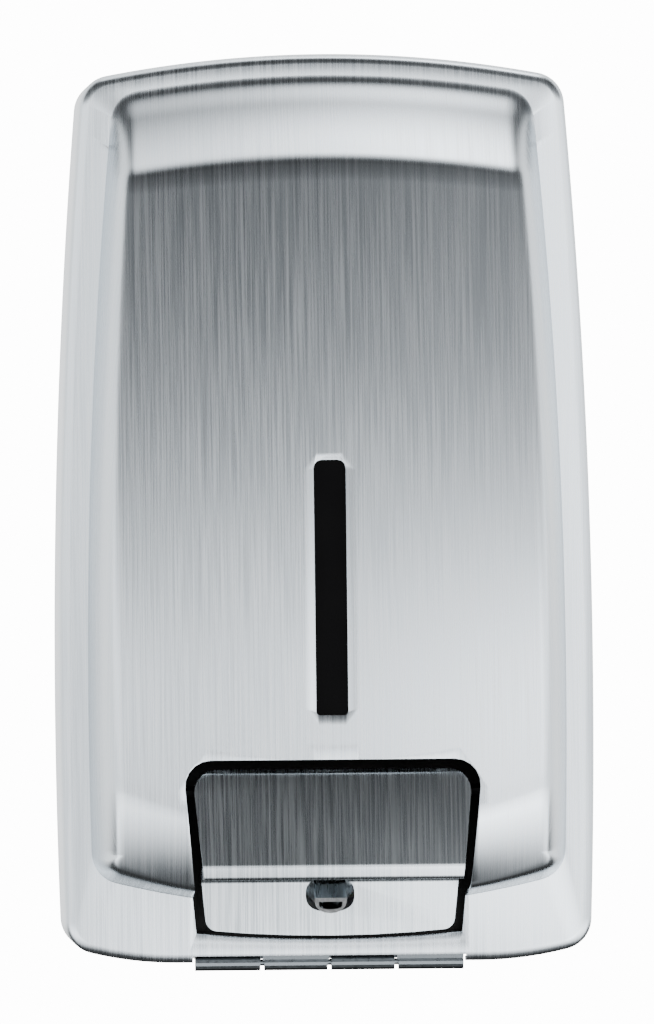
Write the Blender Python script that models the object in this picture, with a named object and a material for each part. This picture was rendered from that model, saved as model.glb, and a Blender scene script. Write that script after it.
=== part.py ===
"""Wall mounted soap dispenser: a drawn steel cover hinged at its foot, a push handle and an inclined pump.

The frame: X to the right, Y into the wall, Z up. The wall plate's back lies on Y = 0, and the origin is
at the middle of the cover's height. "Depth" is the distance in front of the wall, so depth = -Y.
All sizes are in metres.
"""

import math

import bmesh
import bpy
import numpy as np
from mathutils import Matrix, Vector

# Clearances
SEAT_GAP = 0.0003  # between pieces that rest on each other
PIN_GAP = 0.00025  # radial, round a pin or a shaft
SWING_GAP = 0.0012  # between a moving piece and what it passes

# Cover
COVER_WIDTH = 0.1335
COVER_TOP = 0.11365
COVER_FOOT = -0.1135
COVER_SHEET = 0.001
FLANGE_DEPTH = 0.070
WALL_CLEARANCE = 0.0008
WIDEST_HEIGHT = -0.0455
OUTLINE_SIDE_RADIUS = 1.752
ARCH_RADIUS = 0.288
OUTLINE_CORNER = 0.008
OUTLINE_EDGE_ROUND = 0.0025
FOOT_FLAT_HALF = 0.038
FOOT_EASE_RADIUS = 0.080

# Belly: the raised part of the cover, inside its rim
BELLY_SIDE_INSET = 0.0069
BELLY_SIDE_RADIUS = 1.47
BELLY_TOP = COVER_TOP - 0.0052
BELLY_FOOT = COVER_FOOT + 0.0135
BELLY_FOOT_RADIUS = 0.344
BELLY_EDGE_ROLL = 0.008
TIGHT_ROLL = 1.4
TIGHT_ROLL_REACH = 0.014
BELLY_CROWN = 0.08
UPPER_CREASE = BELLY_TOP - 0.0211
RAMP_RISE = 0.0165
LOWER_CREASE = BELLY_FOOT + 0.019
LOWER_CREASE_RADIUS = 0.133
FACE_RISE = 0.0194
CREASE_ROUND = 0.0014
BELLY_RISE = RAMP_RISE + FACE_RISE

# Level window
WINDOW_WIDTH = 0.008
WINDOW_TOP = 0.012
WINDOW_FOOT = -0.0515
LENS_MARGIN = 0.0035
LENS_THICKNESS = 0.0015
LENS_FRAME_WIDTH = 0.0025
WINDOW_FRAME_REACH = LENS_MARGIN + SEAT_GAP + LENS_FRAME_WIDTH

# Handle cut-out in the cover
CUTOUT_TOP = -0.0625
CUTOUT_FOOT = -0.1062
CUTOUT_TOP_HALF = 0.0374
CUTOUT_FOOT_HALF = 0.0333
CUTOUT_CORNER = 0.0065
CUTOUT_FOOT_SAG = 0.0015

# Push handle
HANDLE_GAP = 0.0024
HANDLE_WALL = 0.0018
SURROUND_RISE = 0.0085
PAD_FOOT = -0.0905
PAD_TOP_DEPTH = FLANGE_DEPTH + 0.0313
LIP_DEPTH = FLANGE_DEPTH + 0.038
CHIN_DEPTH = FLANGE_DEPTH + 0.006
HANDLE_PIVOT_DEPTH = FLANGE_DEPTH + 0.020
HANDLE_PIVOT_HEIGHT = -0.0705
HANDLE_PIN_RADIUS = 0.0015
HANDLE_PUSH_DEGREES = 14.0
HOLE_HALF_WIDTH = 0.0061
HOLE_HALF_HEIGHT = 0.0043
HOLE_SQUARENESS = 2.6
HOLE_HEIGHT = -0.0965
AXIS_HEIGHT = -0.0968

# Hinge
HINGE_HALF = 0.0336
KNUCKLE_RADIUS = 0.002
HINGE_DEPTH = FLANGE_DEPTH - COVER_SHEET - KNUCKLE_RADIUS - 0.0003
HINGE_HEIGHT = COVER_FOOT - 0.0001
KNUCKLE_GAP = 0.0010
KNUCKLES = 4
LEAF_THICKNESS = 0.001
LEAF_SETBACK = 0.00015
HINGE_PIN_RADIUS = 0.0008

RIVET_RADIUS = 0.0015
LEAF_RIVET_X = 0.020
LEAF_RIVET_DEPTH = 0.053
BRACKET_RIVET_X = 0.044

# Wall plate and what it carries
PLATE_HALF = 0.056
PLATE_TOP = COVER_TOP - 0.00765
PLATE_FOOT = -0.102
PLATE_THICKNESS = 0.0015
SHELF_THICKNESS = 0.0012
SHELF_HALF = 0.052
FIXING_HOLE_RADIUS = 0.0025
FIXING_HALF_SPACING = 0.038
FIXING_TOP = PLATE_TOP - 0.020
FIXING_FOOT = -0.086

# Tank
TANK_HALF = 0.046
TANK_BACK_DEPTH = 0.008
TANK_FRONT_DEPTH = FLANGE_DEPTH + 0.008
TANK_TOP = COVER_TOP - 0.05365
TANK_FOOT = -0.098
TANK_WALL = 0.002
MOUTH_HALF = 0.027
MOUTH_BACK_DEPTH = 0.026
MOUTH_FRONT_DEPTH = 0.046
LID_THICKNESS = 0.002
LID_SEAL_THICKNESS = 0.0012
LID_PIN_RADIUS = 0.0012

# Pump, set along a sloping axis; distances run forward along it from the middle of the chin's hole
SPOUT_REACH = 0.0052
SPOUT_HALF_WIDTH = 0.004
SPOUT_HEIGHT = 0.0044
SPOUT_WALL = 0.0011
COLLAR_RADIUS = 0.0062
COLLAR_THICKNESS = 0.002
STEM_RADIUS = 0.003
STEM_BORE = 0.0014
CYLINDER_BORE = 0.0055
CYLINDER_WALL = 0.0018
CYLINDER_LENGTH = 0.027
PUMP_FLANGE_RADIUS = 0.011
PUMP_FLANGE_THICKNESS = 0.002
GASKET_THICKNESS = 0.001
GLAND_RADIUS = 0.0085
GLAND_THICKNESS = 0.003
TANK_FACE_DISTANCE = -0.031
SPRING_WIRE = 0.00045
SPRING_TURNS = 5

# Lock in the cover's top
LOCK_DEPTH = 0.042
LOCK_RADIUS = 0.0065
LOCK_CYLINDER_RADIUS = 0.0042
LOCK_LENGTH = 0.011
CAM_REACH = 0.020
CAM_HALF = 0.0035
CAM_THICKNESS = 0.0015

ROUND_SIDES = 16


def at(x, depth, height):
    return Vector((x, -depth, height))


# Starting over


def clear_scene():
    for old in list(bpy.data.objects):
        bpy.data.objects.remove(old)


def material(name, colour, roughness, metallic=0.0, alpha=1.0):
    made = bpy.data.materials.new(name)
    made.use_nodes = True
    shader = made.node_tree.nodes["Principled BSDF"]
    shader.inputs["Base Color"].default_value = (*colour, 1.0)
    shader.inputs["Roughness"].default_value = roughness
    shader.inputs["Metallic"].default_value = metallic
    shader.inputs["Alpha"].default_value = alpha
    return made


# Shapes, each returned as a bmesh


def box(x_range, depth_range, height_range):
    shape = bmesh.new()
    middle = at(sum(x_range) / 2, sum(depth_range) / 2, sum(height_range) / 2)
    sides = [abs(r[1] - r[0]) for r in (x_range, depth_range, height_range)]
    matrix = Matrix.Translation(middle) @ Matrix.Diagonal((*sides, 1.0))
    bmesh.ops.create_cube(shape, size=1.0, matrix=matrix)
    return shape


def prism(outline, sweep):
    """A flat outline (3-D points in order) swept along a vector."""
    shape = bmesh.new()
    face = shape.faces.new([shape.verts.new(p) for p in outline])
    swept = bmesh.ops.extrude_face_region(shape, geom=[face])["geom"]
    moved = [v for v in swept if isinstance(v, bmesh.types.BMVert)]
    bmesh.ops.translate(shape, verts=moved, vec=sweep)
    bmesh.ops.recalc_face_normals(shape, faces=shape.faces)
    return shape


def turned(profile, start, direction, sides=ROUND_SIDES):
    """A (distance, radius) profile spun round an axis; a radius of zero closes an end."""
    along = direction.normalized()
    across = along.orthogonal().normalized()
    shape = bmesh.new()
    points = [shape.verts.new(start + along * s + across * r) for s, r in profile]
    for first, second in zip(points, points[1:] + points[:1]):
        shape.edges.new((first, second))
    bmesh.ops.spin(shape, geom=shape.verts[:] + shape.edges[:], cent=start, axis=along,
                   angle=2 * math.pi, steps=sides, use_merge=True)
    bmesh.ops.remove_doubles(shape, verts=shape.verts, dist=1e-7)
    bmesh.ops.dissolve_degenerate(shape, edges=shape.edges, dist=1e-7)
    bmesh.ops.recalc_face_normals(shape, faces=shape.faces)
    return shape


def rod(start, end, radius, sides=ROUND_SIDES):
    length = (end - start).length
    return turned([(0, 0), (0, radius), (length, radius), (length, 0)], start, end - start, sides)


def rounded(corners, radii, steps=5):
    """The corners of a flat polygon, (a, b) pairs, each cut by an arc of its own radius."""
    outline = []
    count = len(corners)
    for i, (corner, radius) in enumerate(zip(corners, radii)):
        here = Vector(corner)
        back = (Vector(corners[i - 1]) - here).normalized()
        ahead = (Vector(corners[(i + 1) % count]) - here).normalized()
        if radius == 0:
            outline.append(tuple(here))
            continue
        half_angle = back.angle(ahead) / 2
        centre = here + (back + ahead).normalized() * (radius / math.sin(half_angle))
        reach = radius / math.tan(half_angle)
        first = here + back * reach - centre
        sweep = first.angle_signed(here + ahead * reach - centre)
        for step in range(steps + 1):
            turn = Matrix.Rotation(-sweep * step / steps, 2)
            outline.append(tuple(centre + turn @ first))
    return outline


# Objects


def node(name, shape, finish, body=None, round_angle=35):
    mesh = bpy.data.meshes.new(name)
    shape.to_mesh(mesh)
    shape.free()
    mesh.materials.append(finish)
    mesh.shade_smooth()
    mesh.set_sharp_from_angle(angle=math.radians(round_angle))
    made = bpy.data.objects.new(name, mesh)
    bpy.context.scene.collection.objects.link(made)
    if body:
        made.parent = body["empty"]
        made.location = -body["pivot"]
    return made


def pivot(name, place, carrier=None):
    """An empty on a joint's axis, with the place it holds in the world."""
    empty = bpy.data.objects.new(name, None)
    bpy.context.scene.collection.objects.link(empty)
    empty.location = place
    if carrier:
        empty.parent = carrier["empty"]
        empty.location = place - carrier["pivot"]
    return {"empty": empty, "pivot": place}


def combine(target, shapes, operation):
    """Joins shapes to an object or cuts them from it, and keeps the result as the object's mesh."""
    for shape in shapes:
        mesh = bpy.data.meshes.new("tool")
        shape.to_mesh(mesh)
        shape.free()
        tool = bpy.data.objects.new("tool", mesh)
        bpy.context.scene.collection.objects.link(tool)
        tool.parent = target.parent
        tool.location = target.location
        modifier = target.modifiers.new("combine", "BOOLEAN")
        modifier.object = tool
        modifier.operation = operation
        modifier.solver = "EXACT"
        bpy.context.view_layer.update()
        graph = bpy.context.evaluated_depsgraph_get()
        result = bpy.data.meshes.new_from_object(target.evaluated_get(graph))
        old = target.data
        result.name = old.name
        target.modifiers.clear()
        target.data = result
        bpy.data.objects.remove(tool)
        bpy.data.meshes.remove(old)
    return target


def cut(target, *shapes):
    return combine(target, shapes, "DIFFERENCE")


def join(target, *shapes):
    return combine(target, shapes, "UNION")


# The cover's surface


def outline_half(height):
    return COVER_WIDTH / 2 - (height - WIDEST_HEIGHT) ** 2 / (2 * OUTLINE_SIDE_RADIUS)


def belly_half(height):
    widest = COVER_WIDTH / 2 - BELLY_SIDE_INSET
    return widest - (height - WIDEST_HEIGHT) ** 2 / (2 * BELLY_SIDE_RADIUS)


def row_bend(middle):
    """How fast a row of the belly leaves its middle height, per square of x."""
    heights = (BELLY_FOOT, LOWER_CREASE, UPPER_CREASE)
    bends = (1 / BELLY_FOOT_RADIUS, 1 / LOWER_CREASE_RADIUS, -1 / ARCH_RADIUS)
    return float(np.interp(middle, heights, bends)) / 2


def middle_height(x, height):
    """The height at which the row through a point crosses the middle of the belly."""
    middle = height
    for _ in range(14):
        middle = height - row_bend(middle) * x * x
    return middle


def raw_rise(middle):
    """The belly's rise above the flange along its middle, with sharp creases."""
    if middle >= UPPER_CREASE:
        s = min(max((BELLY_TOP - middle) / (BELLY_TOP - UPPER_CREASE), 0.0), 1.0)
        return RAMP_RISE * (0.67 * s + 0.33 * s * s)
    if middle >= LOWER_CREASE:
        t = (UPPER_CREASE - middle) / (UPPER_CREASE - LOWER_CREASE)
        return RAMP_RISE + FACE_RISE * (1.85 * t - 0.85 * t * t)
    q = min((LOWER_CREASE - middle) / (LOWER_CREASE - BELLY_FOOT), 1.0)
    return BELLY_RISE * (1 - 0.09 * q) * math.sqrt(1 - 0.5 * q * q)


def belly_rise(x, height):
    middle = middle_height(x, height)
    samples = [raw_rise(middle + CREASE_ROUND * k / 3) for k in range(-3, 4)]
    crown = 1 - BELLY_CROWN * (x / belly_half(height)) ** 2
    return crown * sum(samples) / len(samples)


def edge_roll(inset, height):
    """Share of the belly's rise at a distance inside its foot: a hollow, a wall and a round edge, tighter low down."""
    low = min(max((BELLY_FOOT + TIGHT_ROLL_REACH - height) / (TIGHT_ROLL_REACH * 0.6), 0.0), 1.0)
    s = min(max(inset * (1 + TIGHT_ROLL * low) / BELLY_EDGE_ROLL, 0.0), 1.0)
    s = 1.06 * s * s / (s + 0.06)
    return 1 - (1 - s) ** 3.2


def face_depth(x, height):
    """Depth of the cover's outer face well inside the belly's edge."""
    return FLANGE_DEPTH + belly_rise(x, height)


def core_outline(top, foot, half, columns, heights):
    """Four sides of a sharp-cornered outline, clockwise from the top left, sampled alike on every outline."""

    def edge_point(share, edge):
        x = share * half(edge(0))
        for _ in range(8):
            x = share * half(edge(x))
        return x, edge(x)

    upper = [edge_point(share, top) for share in columns]
    lower = [edge_point(share, foot) for share in columns]
    right = []
    for share in heights:
        z = upper[-1][1] + (lower[-1][1] - upper[-1][1]) * share
        right.append((half(z), z))
    left = [(-x, z) for x, z in reversed(right)]
    return [upper, right, lower[::-1], left]


def ring(sides, offset, corner_steps):
    """Points at an even distance outside a core outline, with an arc of steps round each corner."""
    points = []
    normals = []
    for side in sides:
        for i in range(len(side)):
            before = side[max(i - 1, 0)]
            after = side[min(i + 1, len(side) - 1)]
            normals.append(Vector((-(after[1] - before[1]), after[0] - before[0])).normalized())
    place = 0
    for side in sides:
        for point in side:
            points.append((point[0] + normals[place].x * offset, point[1] + normals[place].y * offset))
            place += 1
        first = normals[place - 1]
        second = normals[place % len(normals)]
        corner = side[-1]
        for step in range(1, corner_steps):
            turn = first.angle_signed(second) * step / corner_steps
            normal = Matrix.Rotation(-turn, 2) @ first
            points.append((corner[0] + normal.x * offset, corner[1] + normal.y * offset))
    return points


def cover_surface(columns, band_rows, face_rows, foot_rows, insets, corner_steps):
    """The cover's outer skin, open at the back."""
    roll = BELLY_EDGE_ROLL
    crease = CREASE_ROUND
    rows = list(np.linspace(BELLY_TOP - roll, UPPER_CREASE + crease, band_rows)) + [UPPER_CREASE]
    rows += list(np.linspace(UPPER_CREASE - crease, LOWER_CREASE + crease, face_rows)) + [LOWER_CREASE]
    rows += list(np.linspace(LOWER_CREASE - crease, BELLY_FOOT + roll, foot_rows))
    shares = [math.sin(u * math.pi / 2) for u in np.linspace(-1, 1, columns)]

    def core_half(z):
        return belly_half(z) - roll

    def grid_point(share, middle):
        x = share * core_half(middle)
        for _ in range(8):
            x = share * core_half(middle + row_bend(middle) * x * x)
        return x, middle + row_bend(middle) * x * x

    shape = bmesh.new()
    grid = [[grid_point(share, row) for share in shares] for row in rows]
    verts = [[shape.verts.new(at(x, face_depth(x, z), z)) for x, z in line] for line in grid]
    for upper, lower in zip(verts, verts[1:]):
        for i in range(columns - 1):
            shape.faces.new((upper[i], lower[i], lower[i + 1], upper[i + 1]))

    core = [grid[0], [line[-1] for line in grid], grid[-1][::-1], [line[0] for line in grid[::-1]]]
    drops = [(p[1] - core[1][0][1]) / (core[1][-1][1] - core[1][0][1]) for p in core[1]]
    inner = []
    for side in (verts[0], [v[-1] for v in verts], verts[-1][::-1], [v[0] for v in verts[::-1]]):
        inner += list(side) + [side[-1]] * (corner_steps - 1)
    rings = [inner]
    for inset in insets:
        line = ring(core, roll - inset, corner_steps)
        depths = [FLANGE_DEPTH + edge_roll(inset, z) * belly_rise(x, z) for x, z in line]
        rings.append([shape.verts.new(at(x, d, z)) for (x, z), d in zip(line, depths)])

    def outer_top(x):
        return COVER_TOP - OUTLINE_CORNER - x * x / (2 * (ARCH_RADIUS - OUTLINE_CORNER))

    def outer_foot(x):
        ease = max(abs(x) - FOOT_FLAT_HALF, 0.0)
        return COVER_FOOT + OUTLINE_CORNER + ease * ease / (2 * FOOT_EASE_RADIUS)

    def outer_half(z):
        return outline_half(z) - OUTLINE_CORNER

    outer = core_outline(outer_top, outer_foot, outer_half, shares, drops)
    edge = OUTLINE_EDGE_ROUND
    for angle in (0, 30, 60, 90):
        turn = math.radians(angle)
        line = ring(outer, OUTLINE_CORNER - edge * (1 - math.sin(turn)), corner_steps)
        depth = FLANGE_DEPTH - edge * (1 - math.cos(turn))
        rings.append([shape.verts.new(at(x, depth, z)) for x, z in line])
    line = ring(outer, OUTLINE_CORNER, corner_steps)
    rings.append([shape.verts.new(at(x, WALL_CLEARANCE, z)) for x, z in line])

    for first, second in zip(rings, rings[1:]):
        for i in range(len(first)):
            j = (i + 1) % len(first)
            corners = [first[j], first[i], second[i], second[j]]
            different = [v for k, v in enumerate(corners) if v not in corners[:k]]
            if len(different) > 2:
                shape.faces.new(different)
    return shape


def cutout_outline(margin=0.0):
    """The handle cut-out in the cover, as (x, height) pairs, grown by a margin."""
    top = CUTOUT_TOP + margin
    foot = CUTOUT_FOOT - margin
    corners = [(-CUTOUT_TOP_HALF - margin, top), (CUTOUT_TOP_HALF + margin, top)]
    radii = [CUTOUT_CORNER, CUTOUT_CORNER]
    half = CUTOUT_FOOT_HALF + margin
    for share in np.linspace(1, -1, 7):
        corners.append((half * share, foot - CUTOUT_FOOT_SAG * (1 - share * share)))
        radii.append(0)
    return rounded(corners, radii)


def window_outline(margin=0.0):
    half = WINDOW_WIDTH / 2 + margin
    corners = [(-half, WINDOW_TOP + margin), (half, WINDOW_TOP + margin),
               (half, WINDOW_FOOT - margin), (-half, WINDOW_FOOT - margin)]
    return rounded(corners, [0.002, 0.002, 0.001, 0.001], 3)


def front_prism(outline, depth_range):
    return prism([at(x, depth_range[0], z) for x, z in outline], at(0, depth_range[1] - depth_range[0], 0))


def side_prism(outline, x_range):
    """A (depth, height) outline swept across from one x to another."""
    return prism([at(x_range[0], d, z) for d, z in outline], Vector((x_range[1] - x_range[0], 0, 0)))


def make_cover(body, finish):
    insets = [share * BELLY_EDGE_ROLL for share in (0.72, 0.48, 0.3, 0.17, 0.08, 0.0)]
    shape = cover_surface(13, 4, 8, 4, insets, 4)
    bmesh.ops.recalc_face_normals(shape, faces=shape.faces)
    cover = node("front_cover", shape, finish, body)
    solid = cover.modifiers.new("sheet", "SOLIDIFY")
    solid.thickness = COVER_SHEET
    solid.offset = -1
    solid.use_even_offset = True
    past = (FLANGE_DEPTH - 0.02, LIP_DEPTH + 0.02)
    lip_depth = HINGE_DEPTH - KNUCKLE_RADIUS - 0.0045
    lip_half = SHELF_HALF + 0.007
    notch_half = HINGE_HALF + SWING_GAP / 2
    notch_top = HINGE_HEIGHT + KNUCKLE_RADIUS - 0.0003
    return cut(
        cover,
        front_prism(window_outline(), past),
        front_prism(cutout_outline(), past),
        box((-lip_half, lip_half), (-0.01, lip_depth), (COVER_FOOT - 0.01, COVER_FOOT + 0.007)),
        box((-notch_half, notch_half), (0.04, FLANGE_DEPTH + 0.01), (COVER_FOOT - 0.01, notch_top)),
        rod(at(0, LOCK_DEPTH, COVER_TOP - 0.01), at(0, LOCK_DEPTH, COVER_TOP + 0.01), LOCK_RADIUS + SEAT_GAP),
    )


def make_window(body, smoke, black):
    """The dark strip behind the level window, and the frame that holds its edge to the cover."""

    def behind_cover(name, outline_margin, gap, thickness, finish, hole_margin=None):
        outline = window_outline(outline_margin)
        heights = [z for _, z in outline]
        tops = at(0, face_depth(0, max(heights)) - COVER_SHEET - gap, max(heights))
        foots = at(0, face_depth(0, min(heights)) - COVER_SHEET - gap, min(heights))
        slope = (tops.y - foots.y) / (tops.z - foots.z)

        def plane(line):
            return [Vector((x, foots.y + (z - foots.z) * slope, z)) for x, z in line]

        made = node(name, prism(plane(outline), Vector((0, thickness, 0))), finish, body)
        if hole_margin is not None:
            hole = [p - Vector((0, thickness, 0)) for p in plane(window_outline(hole_margin))]
            cut(made, prism(hole, Vector((0, 3 * thickness, 0))))
        return made

    sag = 0.0007
    behind_cover("window_strip", LENS_MARGIN, sag, LENS_THICKNESS, smoke)
    frame_gap = sag + LENS_THICKNESS / 2
    reach = LENS_MARGIN + SEAT_GAP
    behind_cover("window_frame", WINDOW_FRAME_REACH, frame_gap, LENS_THICKNESS, black, reach)


def make_hinge(cover, steel):
    """A short piano hinge: a leaf under the wall bracket's shelf, a leaf behind the cover's rim, and its pin."""
    axis = at(0, HINGE_DEPTH, HINGE_HEIGHT)
    step = 2 * HINGE_HALF / KNUCKLES
    top = HINGE_HEIGHT + KNUCKLE_RADIUS - LEAF_SETBACK
    front = HINGE_DEPTH + KNUCKLE_RADIUS - LEAF_SETBACK
    leaf_top = CUTOUT_FOOT - CUTOUT_FOOT_SAG - 0.0008
    root = KNUCKLE_RADIUS / 4
    sheets = [
        box((-HINGE_HALF, HINGE_HALF), (0.048, HINGE_DEPTH - root), (top - LEAF_THICKNESS, top)),
        box((-HINGE_HALF, HINGE_HALF), (front - LEAF_THICKNESS, front), (HINGE_HEIGHT + root, leaf_top)),
    ]
    names = ("hinge_leaf_fixed", "hinge_leaf_moving")
    for which, (name, sheet) in enumerate(zip(names, sheets)):
        leaf = node(name, sheet, steel, cover if which else None)
        for x in () if which else (-LEAF_RIVET_X, LEAF_RIVET_X):
            drill = at(x, LEAF_RIVET_DEPTH, top)
            across = Vector((0, 0, 0.005))
            cut(leaf, rod(drill - across, drill + across, RIVET_RADIUS + PIN_GAP, 12))
        for k in range(KNUCKLES):
            first = -HINGE_HALF + k * step + (KNUCKLE_GAP / 2 if k else 0)
            last = -HINGE_HALF + (k + 1) * step - (KNUCKLE_GAP / 2 if k < KNUCKLES - 1 else 0)
            start = axis + Vector((first, 0, 0))
            if k % 2 == which:
                join(leaf, rod(start, axis + Vector((last, 0, 0)), KNUCKLE_RADIUS))
            else:
                room = KNUCKLE_RADIUS + 0.0004
                gap = 0.6 * KNUCKLE_GAP
                cut(leaf, box((first - gap, last + gap), (HINGE_DEPTH - room, HINGE_DEPTH + room),
                              (HINGE_HEIGHT - room, HINGE_HEIGHT + room)))
        reach = Vector((HINGE_HALF + 0.01, 0, 0))
        cut(leaf, rod(axis - reach, axis + reach, HINGE_PIN_RADIUS + PIN_GAP))
    half = Vector((HINGE_HALF, 0, 0))
    node("hinge_pin", rod(axis - half, axis + half, HINGE_PIN_RADIUS), steel)
    return top


def rivet(name, seat, direction, grip, steel):
    """A round-headed rivet: its head stands on the seat and its shank runs along the direction."""
    head = 0.0011
    profile = [(-head, 0), (-head, RIVET_RADIUS), (-head * 0.3, RIVET_RADIUS * 1.6), (0, RIVET_RADIUS * 1.85),
               (0, RIVET_RADIUS), (grip, RIVET_RADIUS), (grip, 0)]
    return node(name, turned(profile, seat, direction, 12), steel)


def make_wall_side(leaf_top, steel):
    """The wall plate and what is fixed to it: bracket, rivets, keeper and tank clips."""
    top = [(-PLATE_HALF, PLATE_TOP), (PLATE_HALF, PLATE_TOP)]
    corners = top + [(PLATE_HALF, PLATE_FOOT), (-PLATE_HALF, PLATE_FOOT)]
    outline = [at(x, 0, z) for x, z in rounded(corners, [0.008] * 4, 4)]
    plate = node("wall_plate", prism(outline, at(0, PLATE_THICKNESS, 0)), steel)
    for x in (-FIXING_HALF_SPACING, FIXING_HALF_SPACING):
        for z in (FIXING_TOP, FIXING_FOOT):
            cut(plate, rod(at(x, -0.005, z), at(x, 0.005, z), FIXING_HOLE_RADIUS))

    face = PLATE_THICKNESS + SEAT_GAP
    shelf = (leaf_top + SEAT_GAP, leaf_top + SEAT_GAP + SHELF_THICKNESS)
    upright = (face, face + SHELF_THICKNESS)
    back_leg = box((-SHELF_HALF, SHELF_HALF), upright, (shelf[0], PLATE_FOOT + 0.012))
    bracket = node("hinge_bracket", back_leg, steel)
    join(bracket, box((-SHELF_HALF, SHELF_HALF), (face, 0.056), shelf))
    join(bracket, box((-HINGE_HALF, HINGE_HALF), (0.05, HINGE_DEPTH - KNUCKLE_RADIUS - 0.0025), shelf))
    down = Vector((0, 0, -1))
    inward = Vector((0, 1, 0))
    for side, sign in (("left", -1), ("right", 1)):
        place = at(sign * LEAF_RIVET_X, LEAF_RIVET_DEPTH, shelf[1] + SEAT_GAP)
        cut(bracket, rod(place - down * 0.003, place + down * 0.006, RIVET_RADIUS + PIN_GAP, 12))
        rivet(f"leaf_rivet_{side}", place, down, place.z - leaf_top + LEAF_THICKNESS, steel)
        place = at(sign * BRACKET_RIVET_X, face + SHELF_THICKNESS + SEAT_GAP, PLATE_FOOT + 0.006)
        for piece in (bracket, plate):
            cut(piece, rod(place, place + inward * 0.01, RIVET_RADIUS + PIN_GAP, 12))
        rivet(f"bracket_rivet_{side}", place, inward, -place.y - 0.0006, steel)
    return shelf[1]


def make_keeper(steel):
    """A bent arm from the wall plate whose lip the cam turns behind."""
    face = PLATE_THICKNESS + SEAT_GAP
    cam_foot = COVER_TOP - COVER_SHEET - LOCK_LENGTH - CAM_THICKNESS - 0.0005
    heights = (cam_foot - 0.0015, cam_foot + 0.004)
    lip_depth = LOCK_DEPTH + CAM_HALF + SWING_GAP
    arm_x = CAM_REACH + SWING_GAP
    keeper = node("latch_keeper", box((arm_x, arm_x + 0.0015), (face, lip_depth + 0.0015), heights), steel)
    join(keeper, box((LOCK_RADIUS + 0.004, arm_x + 0.0015), (lip_depth, lip_depth + 0.0015), heights))
    join(keeper, box((arm_x - 0.012, arm_x + 0.0015), (face, face + 0.0012), (heights[0] - 0.010, heights[1])))


def make_clips(steel):
    """Two bent clips that hold the tank's top rear edge to the wall plate."""
    face = PLATE_THICKNESS + SEAT_GAP
    for side, sign in (("left", -1), ("right", 1)):
        across = (sign * 0.034, sign * 0.044)
        clip_heights = (TANK_TOP - 0.012, TANK_TOP + 0.0013)
        clip = node(f"tank_clip_{side}", box(across, (face, face + 0.001), clip_heights), steel)
        join(clip, box(across, (face, TANK_BACK_DEPTH + 0.006), (TANK_TOP + SEAT_GAP, TANK_TOP + 0.0013)))


def hex_nut(name, seat, direction, shaft, corner, thickness, finish, body=None, sides=ROUND_SIDES):
    """A hexagonal nut that starts at its seat and runs along a direction, round a shaft of the given radius."""
    nut = node(name, rod(seat, seat + direction * thickness, corner, 6), finish, body)
    hole = rod(seat - direction * thickness, seat + direction * 2 * thickness, shaft + PIN_GAP, sides)
    return cut(nut, hole)


# The pump's axis: square to the line from the handle's pivot to the chin's hole


def pump_line():
    """A point on the axis, its forward direction and the direction square to it in the side view."""
    start = at(0, CHIN_DEPTH, AXIS_HEIGHT)
    arm = start - at(0, HANDLE_PIVOT_DEPTH, HANDLE_PIVOT_HEIGHT)
    forward = Vector((0, arm.z, -arm.y)).normalized()
    upward = -arm.normalized()
    return start, forward, upward


def along_pump(distance, rise=0.0):
    start, forward, upward = pump_line()
    return start + forward * distance + upward * rise


def pump_turned(profile, sides=ROUND_SIDES):
    """A profile of (distance, radius) spun round the pump's axis."""
    return turned(profile, along_pump(0), pump_line()[1], sides)


def side_point(place):
    return (-place.y, place.z)


def tank_outline(inset=0.0):
    """The tank in side view; its lower front wall is square to the pump."""
    face_top = side_point(along_pump(TANK_FACE_DISTANCE - inset, 0.0135))
    face_foot = side_point(along_pump(TANK_FACE_DISTANCE - inset, -0.0130))
    slope = (face_top[0] - face_foot[0]) / (face_top[1] - face_foot[1])
    foot = TANK_FOOT + inset
    shoulder = CUTOUT_TOP + SURROUND_RISE + 0.0025
    corners = [
        (TANK_BACK_DEPTH + inset, TANK_TOP - inset), (TANK_FRONT_DEPTH - inset, TANK_TOP - inset),
        (TANK_FRONT_DEPTH - inset, shoulder + 0.010 + inset),
        (face_top[0] + 0.0025, shoulder + inset),
        face_top, (face_foot[0] + slope * (foot - face_foot[1]), foot), (TANK_BACK_DEPTH + inset, foot),
    ]
    round_by = [0.004 - inset / 2, 0.005 - inset / 2, 0.008, 0.004, 0.002, 0.003, 0.004 - inset / 2]
    return rounded(corners, round_by, 3)


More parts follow.
